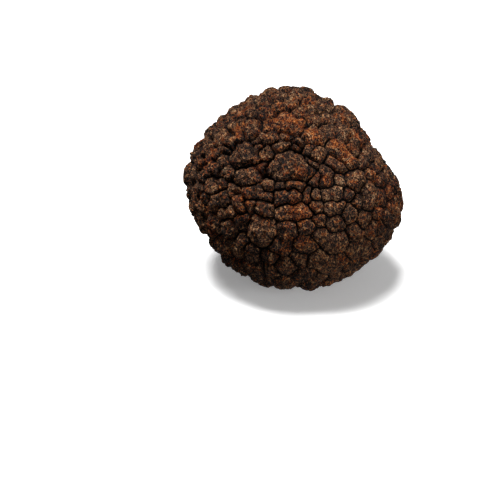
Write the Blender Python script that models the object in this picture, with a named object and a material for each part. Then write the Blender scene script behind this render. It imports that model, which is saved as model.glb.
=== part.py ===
"""A whole black truffle: one solid fruit body, resting on the small flat spot under it.

Frame: metres, +Z up, the origin on the flat spot, under the middle of the body. The truffle's
face looks along -Y, and its broadest width runs along X. The skin modelled here runs over the
tops of the warts: it has the body's lobes, creases and gentle swellings.
"""

import math

import bmesh
import bpy
from mathutils import Vector, noise

# Driving dimensions of the fruit body, in metres.
WIDTH = 0.066
DEPTH = 0.062
HEIGHT = 0.058
# How far the flat spot cuts into the round underside.
FLAT_SPOT_CUT = 0.0015
# How much narrower the body grows towards the top, and wider towards the bottom.
TAPER = 0.09

# The body starts as a cube whose sides have this many cells, rounded into a ball.
CELLS_PER_SIDE = 26

# Lobes and creases: name, azimuth and elevation of the middle in degrees, how far it spreads
# in degrees, and its height as a share of the ball's radius. Azimuth 0 is the front (-Y) and
# 90 is the right (+X). Elevation is above the horizon.
LOBES = (
    ("left_shoulder", -96, 8, 24, 0.05),
    ("upper_left_slope", -112, 34, 20, -0.025),
    ("left_underside", -82, -26, 20, -0.1),
    ("right_flank", 86, -10, 22, 0.065),
    ("upper_right_slope", 104, 23, 28, -0.19),
    ("right_underside", 80, -27, 16, -0.08),
    ("crown", -145, 60, 26, 0.075),
    ("right_crown", 126, 49, 12, 0.03),
    ("brow", -5, 36, 16, 0.03),
    ("brow_hollow", 8, 14, 12, -0.02),
    ("chin", -4, -24, 26, 0.04),
    ("back_lobe", 168, 8, 30, 0.05),
    ("back_crease", -150, -6, 14, -0.05),
)

# Soft swellings that follow no plan: their size as a share of the radius, and their height.
SWELLING_SIZE = 0.38
SWELLING_HEIGHT = 0.022

SKIN_COLOUR = (0.045, 0.026, 0.017, 1.0)
SKIN_ROUGHNESS = 0.8


def direction(azimuth_deg, elevation_deg):
    """The unit vector that points that way out of the middle of the body."""
    azimuth, elevation = math.radians(azimuth_deg), math.radians(elevation_deg)
    return Vector((
        math.sin(azimuth) * math.cos(elevation),
        -math.cos(azimuth) * math.cos(elevation),
        math.sin(elevation),
    ))


LOBE_SHAPES = [
    (direction(azimuth, elevation), math.radians(spread), height)
    for _, azimuth, elevation, spread, height in LOBES
]


def skin_radius(way):
    """How far the skin is from the middle along the unit vector way, on a ball of radius 1."""
    radius = 1.0
    for middle, spread, height in LOBE_SHAPES:
        radius += height * math.exp(-0.5 * (way.angle(middle) / spread) ** 2)
    return radius + SWELLING_HEIGHT * noise.noise(way / SWELLING_SIZE)


def rounded_cube():
    """A cube of even cells, blown up into a ball of radius 1."""
    ball = bmesh.new()
    bmesh.ops.create_cube(ball, size=2.0)
    bmesh.ops.subdivide_edges(ball, edges=ball.edges, cuts=CELLS_PER_SIDE - 1, use_grid_fill=True)
    for vertex in ball.verts:
        # The tangent evens out the cells, which would crowd at the cube's corners.
        even = [math.tan(0.25 * math.pi * side) for side in vertex.co]
        vertex.co = Vector(even).normalized()
    return ball


def stretch_to_size(body):
    """Scales the body to its three sizes and sets it down, its flat spot's plane at z = 0."""
    low = Vector(min(v.co[axis] for v in body.verts) for axis in range(3))
    high = Vector(max(v.co[axis] for v in body.verts) for axis in range(3))
    sizes = (WIDTH, DEPTH, HEIGHT + FLAT_SPOT_CUT)
    scale = [size / (top - bottom) for size, top, bottom in zip(sizes, high, low)]
    middle = (low + high) / 2
    bmesh.ops.translate(body, verts=body.verts, vec=(-middle.x, -middle.y, -low.z))
    bmesh.ops.scale(body, verts=body.verts, vec=scale)
    bmesh.ops.translate(body, verts=body.verts, vec=(0, 0, -FLAT_SPOT_CUT))


def cut_flat_spot(body):
    """Slices off the lowest part of the underside and closes the cut with one flat face."""
    everything = body.verts[:] + body.edges[:] + body.faces[:]
    cut = bmesh.ops.bisect_plane(
        body, geom=everything, plane_co=(0, 0, 0), plane_no=(0, 0, -1), clear_outer=True
    )
    rim = [piece for piece in cut["geom_cut"] if isinstance(piece, bmesh.types.BMEdge)]
    bmesh.ops.contextual_create(body, geom=rim)


def truffle_skin():
    """The material of the CAD solid: dark, dull brown."""
    skin = bpy.data.materials.new("truffle_skin")
    skin.use_nodes = True
    shader = skin.node_tree.nodes["Principled BSDF"]
    shader.inputs["Base Color"].default_value = SKIN_COLOUR
    shader.inputs["Roughness"].default_value = SKIN_ROUGHNESS
    shader.inputs["Metallic"].default_value = 0.0
    skin.diffuse_color = SKIN_COLOUR
    return skin


def make_truffle():
    """The fruit body, as one object."""
    body = rounded_cube()
    for vertex in body.verts:
        vertex.co *= skin_radius(vertex.co)
        vertex.co.xy *= 1.0 - TAPER * vertex.co.z
    stretch_to_size(body)
    cut_flat_spot(body)
    bmesh.ops.recalc_face_normals(body, faces=body.faces)
    mesh = bpy.data.meshes.new("truffle")
    body.to_mesh(mesh)
    body.free()
    mesh.materials.append(truffle_skin())
    mesh.shade_smooth()
    truffle = bpy.data.objects.new("truffle", mesh)
    bpy.context.scene.collection.objects.link(truffle)
    return truffle


for old in list(bpy.data.objects):
    bpy.data.objects.remove(old)
make_truffle()
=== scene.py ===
# %% [markdown]
# # A whole black truffle
# A black truffle is the fruit body of a fungus that ripens under the ground. Its skin is a dry,
# dark crust of warts: blunt, many-sided pads packed side by side with thin black cracks
# between them, and every pad is gritty with tiny brown and rust-coloured granules.
#
# This lesson builds one from the outside in. The frame gives the size and the broad lumps,
# the warts are then pressed into that skin as real geometry, and the material adds the grit
# that is finer than the mesh.

# %% The frame
import math
import random

import bpy
import numpy as np
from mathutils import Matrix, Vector, noise
from mathutils.bvhtree import BVHTree


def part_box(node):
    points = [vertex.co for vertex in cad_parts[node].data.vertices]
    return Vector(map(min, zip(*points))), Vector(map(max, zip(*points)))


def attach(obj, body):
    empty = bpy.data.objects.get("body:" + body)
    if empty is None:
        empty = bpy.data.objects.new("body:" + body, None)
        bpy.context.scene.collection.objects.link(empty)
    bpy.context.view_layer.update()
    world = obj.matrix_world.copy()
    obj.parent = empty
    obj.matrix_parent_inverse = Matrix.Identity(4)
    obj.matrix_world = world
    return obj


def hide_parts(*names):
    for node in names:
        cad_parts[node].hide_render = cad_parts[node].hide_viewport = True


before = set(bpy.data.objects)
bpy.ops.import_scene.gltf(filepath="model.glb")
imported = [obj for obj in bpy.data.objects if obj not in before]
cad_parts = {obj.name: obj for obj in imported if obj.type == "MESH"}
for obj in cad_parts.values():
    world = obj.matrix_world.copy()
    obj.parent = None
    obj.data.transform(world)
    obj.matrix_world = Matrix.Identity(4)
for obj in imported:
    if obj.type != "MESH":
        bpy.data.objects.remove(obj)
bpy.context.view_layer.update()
body_low, body_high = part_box("truffle")
middle = (Vector(body_low) + Vector(body_high)) / 2
MM = 0.001

# %% [markdown]
# ## The camera
# A truffle on a table is looked at from a little above. A long lens from about 0.4 m keeps
# the round body from looking swollen in front. The camera could be turned towards the
# truffle with a Track To constraint, but a still view needs only a place and a rotation,
# so they are worked out once from an angle and a distance. The truffle is seen above and to
# the right of the view's middle.

# %% Camera
VIEW_DOWN = math.radians(27.0)
VIEW_DISTANCE = 407 * MM
LENS_MM = 100.0
CLOSEST_SEEN = 10 * MM
# How far right of and above the view's middle the truffle's own middle is seen.
SEEN_RIGHT, SEEN_UP = 16.4 * MM, 17.0 * MM

right = Vector((1.0, 0.0, 0.0))
up = Vector((0.0, math.sin(VIEW_DOWN), math.cos(VIEW_DOWN)))
forward = Vector((0.0, math.cos(VIEW_DOWN), -math.sin(VIEW_DOWN)))

aim = middle - right * SEEN_RIGHT - up * SEEN_UP
bpy.ops.object.camera_add(
    location=aim - forward * VIEW_DISTANCE, rotation=(math.pi / 2 - VIEW_DOWN, 0.0, 0.0)
)
camera = bpy.context.object
camera.name = "camera"
camera.data.lens = LENS_MM
camera.data.clip_start = CLOSEST_SEEN
bpy.context.scene.camera = camera
print("the camera stands", round(camera.location.z / MM), "mm above the table")

# %% [markdown]
# ## An even ball to start from
# The skin needs about a hundred thousand vertices, spread evenly, because warts sit on every
# side of it. A UV sphere crowds its vertices at two poles, and an icosphere comes only in
# sizes that are too coarse or too heavy. A cube that is subdivided and blown up into a ball
# has no poles, and its six sides give six tidy islands for a UV map. The map is laid while
# the body is still a plain cube, because subdividing carries it along.

# %% A cube with its map
CELLS_PER_SIDE = 128
FIRST_CUT = 16
ISLAND_COLUMNS, ISLAND_ROWS = 3, 2
ISLAND_GAP = 0.008

bpy.ops.object.select_all(action="DESELECT")
bpy.ops.mesh.primitive_cube_add(size=2.0, location=(0.0, 0.0, 0.0))
skin = bpy.context.object
skin.name = "truffle_skin"
skin_map = skin.data.uv_layers[0]
skin_map.name = "OFBake"

island = ((0, 0), (1, 0), (1, 1), (0, 1))
for side in skin.data.polygons:
    row, column = divmod(side.index, ISLAND_COLUMNS)
    for corner, (across, along) in zip(side.loop_indices, island):
        across = ISLAND_GAP + across * (1.0 - 2.0 * ISLAND_GAP)
        along = ISLAND_GAP + along * (1.0 - 2.0 * ISLAND_GAP)
        place = ((column + across) / ISLAND_COLUMNS, (row + along) / ISLAND_ROWS)
        skin_map.data[corner].uv = place

bpy.ops.object.mode_set(mode="EDIT")
bpy.ops.mesh.select_all(action="SELECT")
bpy.ops.mesh.subdivide(number_cuts=FIRST_CUT - 1)
bpy.ops.mesh.subdivide(number_cuts=CELLS_PER_SIDE // FIRST_CUT - 1)
bpy.ops.object.mode_set(mode="OBJECT")
print("cells on the cube:", len(skin.data.polygons))

# %% [markdown]
# To Sphere would leave the cells at the cube's corners five times smaller than the ones in
# the middle of a side. A tangent on each coordinate, taken first, evens them out, so the
# vertices are moved in numbers instead of with that operator.


# %% Cube to ball
def places_of(piece):
    """The places of a piece's vertices, as rows of an array."""
    flat = np.empty(len(piece.data.vertices) * 3)
    piece.data.vertices.foreach_get("co", flat)
    return flat.reshape(-1, 3)


def move_to(piece, places):
    """Moves a piece's vertices to these places."""
    piece.data.vertices.foreach_set("co", places.ravel())
    piece.data.update()


ball = np.tan(places_of(skin) * math.pi / 4.0)
ball /= np.linalg.norm(ball, axis=1, keepdims=True)
half_sides = np.array(body_high - body_low) / 2.0
move_to(skin, ball * half_sides + np.array(middle))
print("vertices in the ball:", len(ball))

# %% [markdown]
# ## The broad lumps
# The frame holds the truffle's true lumps and its flat spot, but as large flat facets. The
# ball is wrapped onto a copy of it with Shrinkwrap, and the facets are then smoothed away.
# Sculpting the lumps again by hand would drift from the frame's size, and wrapping can't.
# The copy is merged first, because the frame's mesh is loose triangles.

# %% A merged copy of the frame's body
SAME_PLACE = 0.01 * MM

bpy.ops.object.select_all(action="DESELECT")
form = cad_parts["truffle"].copy()
form.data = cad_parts["truffle"].data.copy()
form.name = "form"
bpy.context.scene.collection.objects.link(form)
bpy.context.view_layer.objects.active = form
form.select_set(True)
bpy.ops.object.mode_set(mode="EDIT")
bpy.ops.mesh.select_all(action="SELECT")
bpy.ops.mesh.remove_doubles(threshold=SAME_PLACE)
bpy.ops.object.mode_set(mode="OBJECT")
print("vertices in the copy:", len(form.data.vertices))

# %% [markdown]
# Target Project sends each vertex to the copy along the copy's own smooth normals, which
# keeps the cells even. The plain nearest point would bunch them up at the facets' edges.

# %% Wrapping the ball onto the copy
SMOOTHING_ROUNDS, SMOOTHING_SHARE = 24, 0.5

bpy.ops.object.select_all(action="DESELECT")
bpy.context.view_layer.objects.active = skin
skin.select_set(True)
wrap = skin.modifiers.new("wrap", "SHRINKWRAP")
wrap.target = form
wrap.wrap_method = "TARGET_PROJECT"
bpy.ops.object.modifier_apply(modifier=wrap.name)

bpy.ops.object.mode_set(mode="EDIT")
bpy.ops.mesh.select_all(action="SELECT")
bpy.ops.mesh.vertices_smooth(factor=SMOOTHING_SHARE, repeat=SMOOTHING_ROUNDS)
bpy.ops.object.mode_set(mode="OBJECT")
bpy.data.objects.remove(form)

base = places_of(skin)
print("wrapped body, in mm:", np.round((base.max(axis=0) - base.min(axis=0)) / MM, 1))

# %% [markdown]
# ## Where the warts grow
# The warts that face the camera are placed one by one, because they give this truffle its face: a
# broad one in the middle, a rust-coloured brow above it, and rows of squarish pads to the
# right. A wart is one round bump, or a few that grew together. Each bump is given as how far
# it is right of and above the truffle's middle, as the camera sees it, and how wide it is
# from its middle to its edge, all in millimetres.

# %% The warts of the face
FACE_WARTS = (
    # The great wart in the middle, and the small ones crowded over it.
    ((-5.5, 4.5, 3.2), (-1.5, 6.5, 4.5), (3.0, 4.5, 3.5)),
    ((-5.0, 12.0, 1.6), (-2.5, 12.0, 1.6)),
    ((1.0, 12.0, 1.3),),
    ((1.5, 13.5, 1.5),),
    ((4.5, 11.0, 1.8),),
    ((5.5, 6.5, 2.3),),
    ((8.0, 9.0, 2.2),),
    # The large pads to its left.
    ((-16.5, 9.5, 4.5),),
    ((-11.5, 11.0, 1.8), (-12.5, 8.0, 1.8)),
    ((-9.0, 9.5, 2.0),),
    ((-10.0, 5.5, 2.0),),
    ((-16.5, 2.5, 2.8), (-13.5, 3.0, 2.8)),
    ((-20.5, 3.5, 2.2),),
    ((-25.0, 5.0, 1.6),),
    ((-26.5, 9.5, 1.8),),
    ((-23.0, 10.0, 1.8),),
    # The rows of squarish pads to its right.
    ((12.0, 7.0, 1.8), (15.0, 5.0, 1.8)),
    ((13.5, 11.0, 2.3), (15.5, 9.5, 2.3), (18.0, 7.5, 2.3)),
    ((10.5, 4.0, 2.3), (10.5, 1.0, 2.3)),
    ((7.0, 1.5, 2.0),),
    ((14.5, 1.5, 2.0),),
    ((19.5, 1.5, 3.6),),
    ((7.0, -3.5, 2.0),),
    ((11.0, -3.0, 2.3), (13.5, -3.0, 2.3)),
    ((17.5, -3.0, 2.2),),
    ((7.0, -7.0, 2.2),),
    ((12.0, -7.0, 2.2), (15.0, -7.0, 2.2)),
    ((23.5, -1.5, 2.6), (23.5, -5.5, 2.4)),
    ((27.5, -4.0, 2.4),),
    ((20.0, -5.5, 2.0),),
    ((17.5, -8.5, 2.6),),
    ((22.5, -11.0, 2.6),),
    ((26.5, -8.5, 2.0),),
    ((29.0, -10.5, 2.2),),
    # Below the middle, where the face turns under.
    ((4.7, -2.8, 1.5), (4.6, -4.6, 1.5)),
    ((-1.2, -1.0, 1.7), (2.0, -0.9, 1.7)),
    ((-4.4, -0.9, 1.6),),
    ((-8.0, 0.0, 1.8),),
    ((-4.0, -4.0, 2.4), (0.0, -4.0, 2.4)),
    ((-2.0, -8.0, 2.4), (1.5, -8.0, 2.4), (4.0, -8.5, 2.2)),
    ((-14.0, -2.5, 2.2),),
    ((-10.5, -2.0, 1.6), (-8.5, -4.0, 1.8)),
    ((-13.5, -6.5, 1.8),),
    ((-9.5, -7.0, 2.4),),
    ((-19.0, -1.5, 2.2),),
    ((-17.0, -6.5, 2.2),),
    ((-22.0, -4.5, 2.2),),
    # The brow and the top.
    ((-7.0, 19.2, 2.8), (-3.0, 19.8, 3.4), (0.8, 18.6, 2.6)),
    ((-13.5, 17.5, 2.6),),
    ((-10.0, 14.0, 2.0), (-7.0, 14.5, 2.0)),
    ((-18.0, 18.0, 2.3),),
    ((-21.0, 19.5, 2.0),),
    ((-17.5, 15.0, 1.5),),
    ((-23.0, 14.5, 2.2),),
    ((4.5, 15.0, 2.0), (7.5, 15.5, 2.2)),
    ((11.0, 17.5, 2.4),),
    ((16.0, 16.5, 3.2), (19.5, 14.0, 2.4)),
    ((10.5, 21.0, 2.4),),
    ((5.5, 23.5, 2.0),),
    ((-9.0, 26.0, 2.2),),
    ((-4.1, 28.0, 2.0),),
    ((-13.8, 23.5, 2.2),),
    ((-16.5, 21.8, 1.8),),
    ((-5.3, 24.4, 2.0),),
    ((-1.0, 25.2, 1.8),),
    ((2.4, 23.0, 1.9),),
    ((10.4, 25.3, 2.2),),
    ((14.0, 23.8, 2.2),),
    ((16.8, 21.0, 2.0),),
    # Out towards both edges.
    ((19.5, 18.0, 1.9),),
    ((23.4, 12.0, 2.0),),
    ((21.5, 7.5, 2.0), (23.0, 6.5, 1.8)),
    ((26.3, 7.5, 2.0),),
    ((24.2, 3.8, 2.0),),
    ((27.7, 1.8, 2.1),),
    ((30.0, -2.8, 2.0),),
    ((30.8, -6.5, 2.0),),
    ((27.5, -13.3, 2.0),),
    ((-27.6, 11.0, 2.0),),
    ((-29.6, 6.8, 2.0),),
    ((-28.6, 2.6, 1.8),),
    ((-26.0, 0.0, 2.0),),
    ((-29.6, -1.5, 2.0),),
)
print("warts placed one by one:", len(FACE_WARTS))

# %% [markdown]
# A bump's two numbers say where it is seen, not how deep. A ray from the camera through that
# spot finds the skin, as Face Project snapping does when a thing is dragged over a surface.

# %% Placing the face's warts
skin_tree = BVHTree.FromPolygons(
    [Vector(place) for place in base], [tuple(side.vertices) for side in skin.data.polygons]
)


def on_the_face(right_mm, up_mm):
    """The spot on the body that the camera sees that far right of and above its middle."""
    seen = middle + right * (right_mm * MM) + up * (up_mm * MM)
    return skin_tree.ray_cast(camera.location, seen - camera.location)[0]


bumps, bump_sizes, bump_warts = [], [], []
for wart, wart_bumps in enumerate(FACE_WARTS):
    for right_mm, up_mm, size_mm in wart_bumps:
        bumps.append(on_the_face(right_mm, up_mm))
        bump_sizes.append(size_mm * MM)
        bump_warts.append(wart)
print("bumps on the face:", len(bumps))

# %% [markdown]
# The rest of the skin is filled as nature packs it: large warts find room first, and smaller
# ones grow in the gaps. Darts are thrown at the skin, and one sticks where its wart has room
# beside those that are there already. The throws are seeded, so they fall alike each time.

# %% The warts all round
# How wide the warts are from middle to edge, in mm, and how many darts are thrown for each.
WART_THROWS = ((4.6, 30), (3.8, 90), (3.1, 300), (2.6, 1000), (2.2, 2600), (1.8, 2600))
CROWDING = 0.93
GROWN_TOGETHER = 0.25
DART_SEED = 11

dice = random.Random(DART_SEED)
spots = np.array(bumps)
sizes = np.array(bump_sizes)
warts = list(bump_warts)
for size_mm, throws in WART_THROWS:
    size = size_mm * MM
    for index in dice.sample(range(len(base)), throws):
        gaps = np.linalg.norm(spots - base[index], axis=1)
        if np.all(gaps > (sizes + size) * CROWDING):
            spots = np.vstack((spots, base[index]))
            sizes = np.append(sizes, size)
            warts.append(warts[-1] + 1)

# Some neighbours on the rest of the skin grew together into one wart.
warts = np.array(warts)
for bump in range(len(bumps), len(spots)):
    if dice.random() < GROWN_TOGETHER:
        gaps = np.linalg.norm(spots - spots[bump], axis=1)
        gaps[: len(bumps)] = np.inf
        gaps[bump] = np.inf
        warts[bump] = warts[np.argmin(gaps)]
print("bumps in all:", len(spots), "in warts:", len(set(warts)))

# %% [markdown]
# ## A tidy patch and a rough coat
# A truffle isn't warty in one manner all over. Low on the right of this one's face lies a
# patch of flat pads with a thin crack round each, and everywhere else the warts are craggy
# and run into each other. One number for each vertex, from tidy at 0 to rough at 1, says
# which it is. Weight painting would do the same by hand. Here it follows from which way the
# skin faces, with some noise so that the patch has no clean edge.

# %% How rough each spot is
TIDY_WAY = Vector((0.45, -0.88, -0.1))
ROUGH_PATCH_SIZE, ROUGH_PATCHES = 11.0 * MM, 0.5
ROUGH_PATCH_SHIFT = Vector((0.0, 5.0, 9.0))
ROUGH_ALL_OVER = 1.1
ROUGH_LEAST = 0.12

outwards = np.empty(len(base) * 3)
skin.data.vertex_normals.foreach_get("vector", outwards)
outwards = outwards.reshape(-1, 3)

patchy = np.empty(len(base))
for row, place in enumerate(base):
    patchy[row] = noise.noise(Vector(place) / ROUGH_PATCH_SIZE + ROUGH_PATCH_SHIFT)
tidy = np.clip(outwards @ np.array(TIDY_WAY), 0.0, 1.0) ** 2
rough = np.clip(ROUGH_ALL_OVER * (1.0 - tidy) + ROUGH_PATCHES * patchy, ROUGH_LEAST, 1.0)
print("roughness, on average:", round(rough.mean(), 2))

# %% [markdown]
# ## The cracks between the warts
# Where two warts meet there is a crack, halfway between them, nearer to the smaller one.
# Straight cracks would look cut with a knife, so the places are first stirred a little with
# two sizes of noise, more where the skin is rough.

# %% Stirring the places
WAVE_SIZE, WAVE_HEIGHT = 3.4 * MM, 0.9 * MM
RIPPLE_SIZE, RIPPLE_HEIGHT = 1.2 * MM, 0.22 * MM
TIDY_WAVE, ROUGH_WAVE = 0.4, 0.8
# Without a seed of its own, noise_vector takes one from the clock.
WAVE_SEED = 5
noise.seed_set(WAVE_SEED)


def stirred(places):
    """The places, each pushed a little way aside by two sizes of noise."""
    pushed = np.empty_like(places)
    for row, place in enumerate(places):
        wave = noise.noise_vector(Vector(place) / WAVE_SIZE) * WAVE_HEIGHT
        ripple = noise.noise_vector(Vector(place) / RIPPLE_SIZE) * RIPPLE_HEIGHT
        pushed[row] = place + np.array(wave + ripple) * (TIDY_WAVE + ROUGH_WAVE * rough[row])
    return pushed


stirred_base = stirred(base)
pushes = np.linalg.norm(stirred_base - base, axis=1)
print("widest push, in mm:", round(pushes.max() / MM, 2))

# %% [markdown]
# Two warts share one crack, so what belongs to it is kept for each pair of bumps: how far
# apart they are, and how deep their crack is by chance. Only neighbours share a crack, but
# a table of all pairs is simpler to make and to look things up in, and with a few hundred
# bumps it stays small.

# %% Pairs of bumps
CRACK_SEED = 5

spread = np.linalg.norm(spots[:, None, :] - spots[None, :, :], axis=2)
pair_depths = np.random.default_rng(CRACK_SEED).uniform(0.0, 1.0, (len(spots), len(spots)))
pair_depths = np.maximum(pair_depths, pair_depths.T)
print("depth of a crack by chance, on average:", round(pair_depths.mean(), 2))

# %% [markdown]
# The Voronoi texture draws such cells, but all of one size and with one kind of border.
# Worked out here in numbers, each wart keeps its own size, and each crack its own depth: in
# the tidy patch they are all deep, and in the rough coat some are shallow.
#
# A vertex stands low near a crack, and it rises from it in three ways at once: up the steep
# wall of the cleft, over the wart's rounded shoulder, and along straight flanks to its peak.

# %% Distances to the cracks
CRACK_LEAST, CRACK_UNEVEN = 0.88, 0.52
CLEFT_WIDTH, CLEFT_ROUND = 0.32 * MM, 1.2
SHALLOW_WIDTH = 0.45
TIDY_WIDTH, ROUGH_WIDTH = 0.75, 0.25
SHOULDER_LEAST, SHOULDER_SHARE, SHOULDER_ROUND = 0.4 * MM, 0.4, 2.0
ROWS_AT_ONCE = 8000


def crack_rows(places, rows):
    """For some rows of places: own is the bump that each is on, beyond the bump across the
    nearest crack, to_middle and to_crack are distances, and cleft, shoulder and pyramid say
    how far up its three slopes it stands, from 0 to 1."""
    apart = ((places[rows, None, :] - spots[None, :, :]) ** 2).sum(axis=2)
    power = apart - sizes**2
    own = power.argmin(axis=1)
    here = np.arange(len(own))
    gap = power - power[here, own][:, None]
    same = warts[own][:, None] == warts[None, :]
    to_edge = np.where(same, np.inf, gap / (2.0 * np.where(same, 1.0, spread[own])))

    roughness = rough[rows][:, None]
    least = CRACK_LEAST - CRACK_UNEVEN * roughness
    depth = least + (1.0 - least) * pair_depths[own]
    wall = CLEFT_WIDTH * (SHALLOW_WIDTH + depth) * (TIDY_WIDTH + ROUGH_WIDTH * roughness)
    bend = SHOULDER_LEAST + SHOULDER_SHARE * sizes[own][:, None]
    steep = 1.0 - np.clip(to_edge / wall, 0.0, 1.0)
    gentle = 1.0 - np.clip(to_edge / bend, 0.0, 1.0)
    return {
        "own": own,
        "beyond": to_edge.argmin(axis=1),
        "to_middle": np.sqrt(apart[here, own]),
        "to_crack": to_edge.min(axis=1),
        "cleft": np.prod(1.0 - depth * steep**CLEFT_ROUND, axis=1),
        "shoulder": np.prod(1.0 - depth * gentle**SHOULDER_ROUND, axis=1),
        "pyramid": np.clip(to_edge.min(axis=1) / sizes[own], 0.0, 1.0),
    }


def crack_fields(places):
    """What crack_rows finds for all the places, a few thousand rows at once to save memory."""
    starts = range(0, len(places), ROWS_AT_ONCE)
    blocks = [crack_rows(places, slice(start, start + ROWS_AT_ONCE)) for start in starts]
    return {name: np.concatenate([block[name] for block in blocks]) for name in blocks[0]}


found = crack_fields(stirred_base)
print("farthest from a crack, in mm:", round(found["to_crack"].max() / MM, 1))

# %% [markdown]
# A crack is only two or three cells of the mesh wide. So that it comes out as a clean line,
# the vertices near a crack are first slid along the skin towards it, where the mesh then
# has more of them to shape it with. Subdividing there would do it too, but the skin would
# grow too heavy.

# %% Gathering vertices at the cracks
GATHER_WITHIN = 1.1 * MM
GATHER_SHARE = 0.5

near = np.clip(found["to_crack"] / GATHER_WITHIN, 0.0, 1.0)
slide = GATHER_SHARE * found["to_crack"] * (1.0 - near)
towards = spots[found["beyond"]] - spots[found["own"]]
towards /= np.linalg.norm(towards, axis=1, keepdims=True)
along_skin = towards - outwards * (towards * outwards).sum(axis=1, keepdims=True)
gathered = base + along_skin * slide[:, None]
found = crack_fields(stirred(gathered))
own, cleft, shoulder = found["own"], found["cleft"], found["shoulder"]
print("widest slide, in mm:", round(slide.max() / MM, 2))

# %% [markdown]
# ## Hollows, rust and painted glints
# In a few places the warts stand round a deep hollow that light hardly reaches. Elsewhere
# the crust has weathered to rust. Pale specks no larger than a pin's head are painted glints.
# These marks are placed one by one like the face's warts, each with its
# place and its size in millimetres, and each fades out softly, as a soft brush would.

# %% The marks
HOLLOWS = (
    (-16.3, 19.7, 2.5), (-2.6, 11.8, 2.5), (1.5, 11.0, 2.5), (0.8, 25.8, 3.0), (-22.8, 10.8, 2.5),
    (-26.7, 4.1, 2.5), (-9.6, 3.8, 3.0), (-23.7, -2.4, 3.0), (-6.9, -5.5, 2.5), (7.5, 21.6, 2.5),
    (4.5, 8.0, 2.5), (4.4, -0.5, 2.0), (6.3, -7.8, 2.0), (-1.0, 1.0, 2.5), (25.5, -13.5, 3.0),
    (-11.0, 22.5, 2.5), (-7.0, 26.3, 2.0), (4.6, 25.5, 2.5), (12.5, 21.5, 2.5), (-2.5, 22.8, 1.8),
)
RUST_SPOTS = (
    (-4.0, 20.8, 6.5), (2.0, 19.4, 4.0), (2.0, 4.0, 2.5), (-17.0, 16.0, 3.0), (-27.0, 7.0, 3.0),
    (6.0, 15.0, 3.0), (16.0, 10.0, 4.0), (20.0, 14.0, 3.0), (30.0, -3.0, 4.5), (1.0, -8.5, 4.5),
    (-15.0, -4.5, 3.0), (9.0, 2.0, 2.0), (25.0, 3.0, 3.0),
)
# Pale specks painted on the granule crests as glints.
PAINTED_GLINTS = (
    (14.4, 0.5, 1.3), (-3.6, 21.6, 0.8), (-18.6, 14.2, 0.7), (-21.4, 4.8, 0.7), (-16.5, 22.0, 0.7),
    (-6.8, 21.6, 0.8), (2.3, 23.5, 0.7), (25.1, -3.6, 0.8),
)


def near_any(marks):
    """How near each vertex is to the nearest of these marks, from 0 up to 1 at its middle."""
    nearness = np.zeros(len(gathered))
    for right_mm, up_mm, size_mm in marks:
        away = np.linalg.norm(gathered - np.array(on_the_face(right_mm, up_mm)), axis=1)
        nearness = np.maximum(nearness, np.exp(-((away / (size_mm * MM)) ** 2)))
    return nearness


hollow, glint_nearness = near_any(HOLLOWS), near_any(PAINTED_GLINTS)
print("vertices well inside a hollow:", int((hollow > 0.5).sum()))

# %% [markdown]
# ## The finer relief
# Between the size of a wart and the size of a granule the skin is never smooth. Crags cut
# across the warts, knobs and sharp little ridges sit on them, ribs fan out from their
# middles, and hair cracks run over them. Displace modifiers with textures could press these
# in one by one, but they can't be faded by the cracks and the roughness found above, so each
# is worked out here as one number for each vertex.

# %% Knobs, ridges, ribs and hair cracks
CRAG_SIZE, KNOB_SIZE, RIDGE_SIZE = 4.4 * MM, 2.4 * MM, 1.3 * MM
# How fast a noise's finer layers fade, how much finer each is, and how many there are. The
# last two numbers fold crags and ridges up into sharp crests.
CRAG_LAYERS, RIDGE_LAYERS = (0.7, 2.1, 3, 1.0, 2.0), (0.6, 2.1, 3, 1.0, 2.0)
KNOB_LAYERS = (0.5, 2.1, 4)
GRAIN_SIZE, GRAIN_SHARPNESS = 0.85 * MM, 1.6
VEIN_SIZE, VEIN_WIDTH = 2.3 * MM, 0.16
RIB_COUNT = 2.2
DEPTH_PATCH_SIZE, VEIN_PATCH_SIZE, RUST_PATCH_SIZE = 9.0 * MM, 18.0 * MM, 7.0 * MM
VEIN_PATCH_SHIFT, RUST_PATCH_SHIFT = Vector((7.0, 3.0, 1.0)), Vector((3.0, 8.0, 2.0))

knobs, grains, patches, veins, vein_patches, ridges, ribs, crags, rust_patches = (
    np.empty(len(base)) for _ in range(9)
)
for row, place in enumerate(gathered):
    spot = Vector(place)
    crags[row] = noise.ridged_multi_fractal(spot / CRAG_SIZE, *CRAG_LAYERS)
    ridges[row] = noise.ridged_multi_fractal(spot / RIDGE_SIZE, *RIDGE_LAYERS)
    knobs[row] = noise.fractal(spot / KNOB_SIZE, *KNOB_LAYERS)
    grains[row] = 1.0 - min(1.0, noise.voronoi(spot / GRAIN_SIZE)[0][0] * GRAIN_SHARPNESS) ** 2
    nearest, second = noise.voronoi(spot / VEIN_SIZE)[0][:2]
    veins[row] = max(0.0, 1.0 - (second - nearest) / VEIN_WIDTH)
    vein_patches[row] = noise.noise(spot / VEIN_PATCH_SIZE + VEIN_PATCH_SHIFT)
    patches[row] = noise.noise(spot / DEPTH_PATCH_SIZE)
    rust_patches[row] = noise.noise(spot / RUST_PATCH_SIZE + RUST_PATCH_SHIFT)
    from_wart = spot - Vector(spots[own[row]])
    ribs[row] = noise.noise(from_wart.normalized() * RIB_COUNT + Vector((own[row], 0.0, 0.0)))

ridges = (ridges - ridges.mean()) / ridges.std()
crags = (crags - crags.mean()) / crags.std()
print("crags, from lowest to highest:", round(crags.min(), 1), round(crags.max(), 1))

# %% [markdown]
# ## How high each spot stands
# The cracks come first, because everything else fades out in them. They are deeper where
# the skin is rough and deepest in the hollows, and each drops down from the wart's rounded
# shoulder before its steep wall begins.

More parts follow.
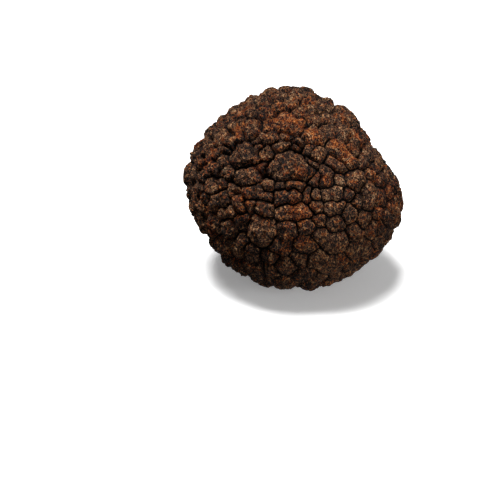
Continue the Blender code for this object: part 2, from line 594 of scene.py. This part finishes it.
# %% Depth of the cracks
CLEFT_DEPTH, SHOULDER_DEPTH, TIDY_SHOULDER = 0.95 * MM, 0.3 * MM, 0.4
DEEP_ALL_OVER, DEEP_ROUGH, DEEP_PATCHES, DEEP_HOLLOWS = 0.85, 0.35, 0.6, 1.1

deepness = DEEP_ALL_OVER + DEEP_ROUGH * rough + DEEP_PATCHES * patches + DEEP_HOLLOWS * hollow
slope = SHOULDER_DEPTH * (TIDY_SHOULDER + rough)
height = (CLEFT_DEPTH * (cleft - 1.0) + slope * (shoulder - 1.0)) * deepness
print("deepest crack so far, in mm:", round(-height.min() / MM, 2))

# %% [markdown]
# On top of that each wart gets its peak, and stands a little higher or lower than its
# neighbours. The finer relief comes last, and all but the crags is faded to nothing in the
# cracks, because knobs down there would fill them.

# %% Height of the warts
PEAK_HEIGHT, TIDY_PEAK = 0.26, 0.3
WART_STEP, WART_SEED = 0.6 * MM, 3
CRAG_HEIGHT, KNOB_HEIGHT, RIDGE_HEIGHT = 0.32 * MM, 0.2 * MM, 0.128 * MM
GRAIN_HEIGHT, RIB_HEIGHT, VEIN_DEPTH = 0.12 * MM, 0.14 * MM, 0.25 * MM

wart_height = np.random.default_rng(WART_SEED).uniform(0.0, 1.0, warts.max() + 1)[warts[own]]
height += PEAK_HEIGHT * (TIDY_PEAK + rough) * found["pyramid"] * sizes[own] * shoulder
height += WART_STEP * wart_height * shoulder

rib_fade = np.clip(found["to_middle"] / sizes[own], 0.0, 1.0)
vein_share = np.clip(0.5 + 2.0 * vein_patches, 0.0, 1.0)
height += CRAG_HEIGHT * crags * rough
height += (KNOB_HEIGHT * knobs + RIDGE_HEIGHT * ridges) * rough * cleft
height += (GRAIN_HEIGHT * grains + RIB_HEIGHT * ribs * rib_fade) * cleft
height -= VEIN_DEPTH * veins * vein_share * cleft
print("from the lowest spot to the highest, in mm:", round(np.ptp(height) / MM, 2))

# %% [markdown]
# The frame's skin runs over the tops of the warts, so most of the relief goes inwards from
# it. Its zero is the height that a quarter of the skin stands above, and the few highest
# crags are cut off, so that the truffle keeps its size. A Displace modifier would move the
# vertices alike, but would need all of this as an image or a vertex group first. All of it
# is real geometry, because it shows on the truffle's outline.

# %% Pressing the relief in
ZERO_AT, HIGHEST = 75.0, 0.9 * MM

relief = np.minimum(height - np.percentile(height, ZERO_AT), HIGHEST)
shaped = gathered + outwards * relief[:, None]
shaped[:, 2] = np.maximum(shaped[:, 2], body_low.z)
move_to(skin, shaped)
print("deepest spot, in mm:", round(-relief.min() / MM, 2))

# %% [markdown]
# ## What the material has to know
# The material has to know where the cracks are, to paint shade in them, where the crust is
# rusty or has painted glints, and which wart a spot belongs to. Textures in space can't tell,
# and a painted image would blur.
# Attributes on the vertices carry it, one number each, so the colours stay with the shape
# from every side.


# %% Attributes for the material
RUST_PATCH_GAIN, RUST_PATCH_CUT, RUST_PATCH_MOST = 1.8, 0.2, 0.8
TONE_SEED = 12


def store(name, values):
    """Keeps one number for each vertex under this name."""
    layer = skin.data.attributes.new(name, "FLOAT", "POINT")
    layer.data.foreach_set("value", values.astype(np.float32))


weathered = np.clip(RUST_PATCH_GAIN * rust_patches - RUST_PATCH_CUT, 0.0, RUST_PATCH_MOST)
wart_tone = np.random.default_rng(TONE_SEED).uniform(0.0, 1.0, warts.max() + 1)[warts[own]]
store("cleft", cleft)
store("rust", np.maximum(near_any(RUST_SPOTS), weathered))
# The pale attribute marks where glints are painted.
store("pale", glint_nearness)
store("wart_tone", wart_tone)

bpy.ops.object.select_all(action="DESELECT")
bpy.context.view_layer.objects.active = skin
skin.select_set(True)
bpy.ops.object.shade_smooth()
print("rusty part of the skin:", round(float((weathered > 0.5).mean()), 2))

# %% [markdown]
# ## The skin's finish
# A truffle's crust is a rind of hard, dry cells, almost black, that ripened against the soil.
# It isn't waxed or oiled, so it looks dull, with only a faint gleam on the edges of its
# granules. Two small helpers build its material. One turns a colour written as sRGB hex
# into the linear numbers that shaders use, and one adds a node with its settings and links.
# All patterns read Object coordinates in millimetres, so a noise's scale is one over the
# size of its lumps.


# %% Colours and nodes
def srgb(hex_colour):
    """A colour written as sRGB hex, turned to the linear values that shaders use."""
    parts = [int(hex_colour[place : place + 2], 16) / 255.0 for place in (1, 3, 5)]
    line = [part / 12.92 if part <= 0.04045 else ((part + 0.055) / 1.055) ** 2.4 for part in parts]
    return (*line, 1.0)


def add_node(kind, inputs, output=0, **settings):
    """Adds a node to the crust and gives back one of its outputs. Each input is named or
    numbered, and is given a value, or another node's output to link from."""
    node = tree.nodes.new("ShaderNode" + kind)
    for name, value in settings.items():
        setattr(node, name, value)
    for name, value in inputs.items():
        if isinstance(value, bpy.types.NodeSocket):
            tree.links.new(value, node.inputs[name])
        else:
            node.inputs[name].default_value = value
    return node.outputs[output]


crust = bpy.data.materials.new("truffle_crust")
crust.use_nodes = True
tree = crust.node_tree
shader = tree.nodes["Principled BSDF"]

object_place = add_node("TexCoord", {}, output="Object")
place_mm = add_node("Mapping", {"Vector": object_place, "Scale": (1.0 / MM, 1.0 / MM, 1.0 / MM)})
print("the crust starts with", len(tree.nodes), "nodes")

# %% [markdown]
# ### Granules
# Each wart is covered with granules that cling together in short, curly rows. A Voronoi
# texture would give separate round dots. Where a noise crosses its middle value it draws
# thin curly lines instead, and two sizes of these, the brighter kept at each spot, look like
# rows of grit. They run a little longer up the truffle than round it, so their coordinates
# are squeezed along Z. The real granules are a tenth of a millimetre or two. Drawn at that
# size they would melt into one even brown, so they are drawn a few times coarser.

# %% Granules
# The size of the noise's lumps in mm, its detail, and how thin its lines are.
GRANULE_ROWS = ((0.88, 1.5, 14.0), (0.56, 1.0, 16.0))
UPRIGHT = (1.0 / MM, 1.0 / MM, 0.6 / MM)

upright_mm = add_node("Mapping", {"Vector": object_place, "Scale": UPRIGHT})
rows = []
for size_mm, detail, thinness in GRANULE_ROWS:
    look = {"Vector": upright_mm, "Scale": 1.0 / size_mm, "Detail": detail, "Roughness": 0.6}
    lumps = add_node("TexNoise", look)
    from_middle = add_node("Math", {0: lumps, 1: 0.5}, operation="SUBTRACT")
    off_middle = add_node("Math", {0: from_middle}, operation="ABSOLUTE")
    fall = add_node("Math", {0: off_middle, 1: thinness}, operation="MULTIPLY", use_clamp=True)
    rows.append(add_node("Math", {0: 1.0, 1: fall}, operation="SUBTRACT"))
# The crests also lighten the colour below: partly the granules' own brown, partly painted
# highlight on their tops.
crest = add_node("Math", {0: rows[0], 1: rows[1]}, operation="MAXIMUM")
print("rows of granules, in mm:", [size_mm for size_mm, *_ in GRANULE_ROWS])

# %% [markdown]
# ### Light and dark
# One value, the tone, says how light a spot of crust is. Four things sway it: how bright a
# row of granules is here and there, patches of a few millimetres, fine grit, and each
# wart's own tone. The first three are noises, which have no seam, and the last is the
# attribute. A Map Range sets how far each one sways the tone.

# %% What sways the tone
# For each noise, the size of its lumps in mm, its detail and its roughness. Then for all
# four, the range that the value mostly fills, and the range that it is stretched to.
UNEVEN, PATCHES, GRIT = (0.9, 2.0, 0.6), (2.6, 3.0, 0.6), (0.5, 3.0, 0.75)
SWAYS = (
    (0.32, 0.68, 0.35, 1.0), (0.3, 0.7, -0.1, 0.16), (0.38, 0.62, -0.05, 0.29),
    (0.0, 1.0, -0.06, 0.08),
)

swaying = []
for size_mm, detail, roughness in (UNEVEN, PATCHES, GRIT):
    look = {"Vector": place_mm, "Scale": 1.0 / size_mm, "Detail": detail, "Roughness": roughness}
    swaying.append(add_node("TexNoise", look))
grit = swaying[-1]
swaying.append(add_node("Attribute", {}, output="Fac", attribute_name="wart_tone"))

swayed = []
for value, (low, high, to_low, to_high) in zip(swaying, SWAYS):
    ends = {"From Min": low, "From Max": high, "To Min": to_low, "To Max": to_high}
    swayed.append(add_node("MapRange", {"Value": value, **ends}))
uneven_there, patch_lean, grit_lean, wart_lean = swayed
print("values that sway the tone:", len(swayed))

# %% [markdown]
# The rows of granules lift the tone most, unevenly, so that they break up; this lift is partly
# their own colour and partly painted highlight. The rest and the painted glints are added to
# it, so they lean it up or down. Painting it would take hours and would show a seam, and this
# sum has none.

# %% Tone of the crust
ROW_TONE, GLINT_TONE = 0.83, 0.25

glint = add_node("Attribute", {}, output="Fac", attribute_name="pale")
crest_colour_and_highlight = add_node("Math", {0: crest, 1: uneven_there}, operation="MULTIPLY")
lean = add_node("Math", {0: patch_lean, 1: wart_lean}, operation="ADD")
lean = add_node("Math", {0: lean, 1: grit_lean}, operation="ADD")
lean = add_node("Math", {0: glint, 1: GLINT_TONE, 2: lean}, operation="MULTIPLY_ADD")
tone = add_node("Math", {0: crest_colour_and_highlight, 1: ROW_TONE, 2: lean}, operation="MULTIPLY_ADD")
print("the tone takes", len(tree.nodes), "nodes")

# %% [markdown]
# ### Colours of the crust
# Black rind, brown granules and their light brown crests are one run of colours, so a Color
# Ramp turns the tone into them. The light crests and the black between them are partly the
# granules' own colour and partly painted highlight and painted shade. Weathered crust has a
# run of its own, in rust.

# %% Two runs of colour
DULL_CRUST = (
    (0.1, "#030303"), (0.25, "#130f0d"), (0.42, "#38251c"), (0.6, "#714e39"), (0.8, "#b07e54"),
    (1.0, "#e0b68a"),
)
RUSTY_CRUST = (
    (0.1, "#050303"), (0.25, "#220e08"), (0.42, "#63290f"), (0.6, "#ae501b"), (0.8, "#d67a2e"),
    (1.0, "#eeae6c"),
)

crusts = []
for stops in (DULL_CRUST, RUSTY_CRUST):
    crusts.append(add_node("ValToRGB", {"Fac": tone}))
    points = crusts[-1].node.color_ramp.elements
    points[0].position, points[0].color = stops[0][0], srgb(stops[0][1])
    points[1].position, points[1].color = stops[-1][0], srgb(stops[-1][1])
    for place, colour in stops[1:-1]:
        points.new(place).color = srgb(colour)
print("stops of colour:", len(DULL_CRUST) + len(RUSTY_CRUST))

# %% [markdown]
# The two runs are mixed by the rust attribute with some noise. The noise is what breaks a
# soft spot up into rusty granules among brown ones, where a plain mix would look sprayed on.
# At a painted glint the granule crests are painted pale.

# %% Rust and painted glints
RUST_LUMPS_MM, RUST_PULL, RUST_MOST = 1.1, 0.17, 0.9
RUST_FROM, RUST_FULL = 0.525, 0.665
GLINT_PALE, GLINT_MOST = "#d8b98f", 0.9

rust_near = add_node("Attribute", {}, output="Fac", attribute_name="rust")
look = {"Vector": place_mm, "Scale": 1.0 / RUST_LUMPS_MM, "Detail": 3.0, "Roughness": 0.65}
rust_lumps = add_node("TexNoise", look)
rust_sum = add_node("Math", {0: rust_near, 1: RUST_PULL, 2: rust_lumps}, operation="MULTIPLY_ADD")
ends = {"From Min": RUST_FROM, "From Max": RUST_FULL, "To Min": 0.0, "To Max": RUST_MOST}
rust_share = add_node("MapRange", {"Value": rust_sum, **ends})
coloured = add_node("MixRGB", {"Fac": rust_share, "Color1": crusts[0], "Color2": crusts[1]})

# The painted glints turn the granule crests pale.
glint_on_crest = add_node("Math", {0: crest_colour_and_highlight, 1: GLINT_MOST}, operation="MULTIPLY")
glint_share = add_node("Math", {0: glint, 1: glint_on_crest}, operation="MULTIPLY")
coloured = add_node("MixRGB", {"Fac": glint_share, "Color1": coloured, "Color2": srgb(GLINT_PALE)})
print("rust and scars bring it to", len(tree.nodes), "nodes")

# %% [markdown]
# ### Cracks, painted shade
# The bottom of a crack is painted black as shade, with none of the granules' browns.
# The geometry alone would leave it dark grey-brown, because light gets in from above, so
# the colour goes over to this painted black shade where the cleft attribute is low.

# %% Cracks, painted shade
PAINTED_CRACK_SHADE = "#040303"
SHADE_FULL_BELOW, SHADE_GONE_ABOVE = 0.45, 0.95

standing = add_node("Attribute", {}, output="Fac", attribute_name="cleft")
ends = {"From Min": SHADE_FULL_BELOW, "From Max": SHADE_GONE_ABOVE, "To Min": 0.0, "To Max": 1.0}
clear_of_crack_shade = add_node("MapRange", {"Value": standing, **ends})
# Where the cleft attribute is low, the crust's colour is painted over with black shade.
painted_crack_shade = {"Fac": clear_of_crack_shade, "Color1": srgb(PAINTED_CRACK_SHADE), "Color2": coloured}
tree.links.new(add_node("MixRGB", painted_crack_shade), shader.inputs["Base Color"])
print("the colour takes", len(tree.nodes), "nodes")

# %% [markdown]
# ### Dull, gritty surface
# The granules are too small to model, but they catch the light, so the same rows and grit
# that colour the crust also raise it with a Bump node. They are drawn coarser than they
# are, so they are raised as much higher. A dry rind scatters light, so it is rough, and its
# pores swallow most of the gleam, so the specular level is low.

# %% Dull, gritty surface
GRANULE_HEIGHT = 0.6 * MM
GRIT_SHARE = 0.9
RIND_ROUGHNESS, RIND_GLEAM = 0.6, 0.12

grit_height = add_node("Math", {0: grit, 1: GRIT_SHARE, 2: crest}, operation="MULTIPLY_ADD")
raised = add_node("Bump", {"Height": grit_height, "Distance": GRANULE_HEIGHT, "Strength": 1.0})
tree.links.new(raised, shader.inputs["Normal"])
shader.inputs["Roughness"].default_value = RIND_ROUGHNESS
shader.inputs["Specular IOR Level"].default_value = RIND_GLEAM

skin.data.materials.clear()
skin.data.materials.append(crust)
print("nodes in the crust:", len(tree.nodes))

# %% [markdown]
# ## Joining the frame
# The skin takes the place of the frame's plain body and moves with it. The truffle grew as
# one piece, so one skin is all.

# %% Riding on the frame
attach(skin, "root")
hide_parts("truffle")
print("triangles in the skin:", 2 * len(skin.data.polygons))

# %% [markdown]
# ## The table and the backdrop
# The truffle stands on a board of matt-coated white card. The coating has no gloss, so it
# looks evenly white and shows a shadow but no reflection. So pale a board would throw light
# up into the cracks of the lower half, where a truffle among others lies in their dark
# shade. Its ray visibility keeps it from lighting the skin. The white walls of a studio
# would fill the shadow on it with light, and a faint glow of its own stands in for them.

# %% Table
TABLE_SIDE = 2.4
CARD_WHITE, CARD_ROUGHNESS, CARD_GLOW = "#f4f4f4", 0.9, 0.22

bpy.ops.object.select_all(action="DESELECT")
bpy.ops.mesh.primitive_plane_add(size=TABLE_SIDE, location=(0.0, 0.0, body_low.z))
table = bpy.context.object
table.name = "table"
paper = bpy.data.materials.new("matt_white_board")
paper.use_nodes = True
board = paper.node_tree.nodes["Principled BSDF"]
board.inputs["Base Color"].default_value = srgb(CARD_WHITE)
board.inputs["Roughness"].default_value = CARD_ROUGHNESS
board.inputs["Emission Color"].default_value = srgb("#ffffff")
board.inputs["Emission Strength"].default_value = CARD_GLOW
table.data.materials.append(paper)
table.visible_diffuse = False
table.visible_glossy = False
print("side of the table, in m:", TABLE_SIDE)

# %% [markdown]
# From low down the view goes past the table's edge. A large ball round everything gives it
# a wall to end on, painted a pale matt grey, which looks even and has no gloss. The paint's
# colour is given as a glow that only the camera sees, so it needs no lamps of its own, and
# the truffle's light still comes from the lamps and the world alone.

# %% Backdrop
BACKDROP_RADIUS = 3.5
WALL_GREY = "#e4e4e4"

bpy.ops.object.select_all(action="DESELECT")
bpy.ops.mesh.primitive_uv_sphere_add(segments=48, ring_count=24, radius=BACKDROP_RADIUS)
backdrop = bpy.context.object
backdrop.name = "backdrop"
wall = bpy.data.materials.new("pale_backdrop")
wall.use_nodes = True
paint = wall.node_tree.nodes["Principled BSDF"]
paint.inputs["Base Color"].default_value = srgb("#000000")
paint.inputs["Emission Color"].default_value = srgb(WALL_GREY)
paint.inputs["Emission Strength"].default_value = 1.0
backdrop.data.materials.append(wall)
for rays in ("diffuse", "glossy", "transmission", "shadow"):
    setattr(backdrop, "visible_" + rays, False)
print("radius of the backdrop, in m:", BACKDROP_RADIUS)

# %% [markdown]
# ## Light
# A large soft panel overhead, a little to the left, lights the tops of the warts and leaves
# the cracks dark. A weak one low on the right opens up the side that turns away from it, and
# a dim white world fills the rest. One sun would be simpler, but its hard shadows would turn
# every granule into a black speck.


# %% Light
def soft_light(name, place, size, power):
    """A square light panel of this size in metres and power in watts, facing the truffle."""
    facing = (middle - Vector(place)).to_track_quat("-Z", "Y")
    bpy.ops.object.light_add(type="AREA", location=place, rotation=facing.to_euler())
    panel = bpy.context.object
    panel.name = name
    panel.data.shape = "SQUARE"
    panel.data.size = size
    panel.data.energy = power


soft_light("top_light", (-0.35, 0.1, 2.2), 1.0, 114.0)
soft_light("side_light", (1.0, -0.6, 0.25), 0.5, 7.0)

WORLD_LIGHT = 0.19
world = bpy.data.worlds.new("studio")
bpy.context.scene.world = world
world.use_nodes = True
sky = world.node_tree.nodes["Background"]
sky.inputs["Color"].default_value = (1.0, 1.0, 1.0, 1.0)
sky.inputs["Strength"].default_value = WORLD_LIGHT
bpy.context.scene.view_settings.view_transform = "Standard"
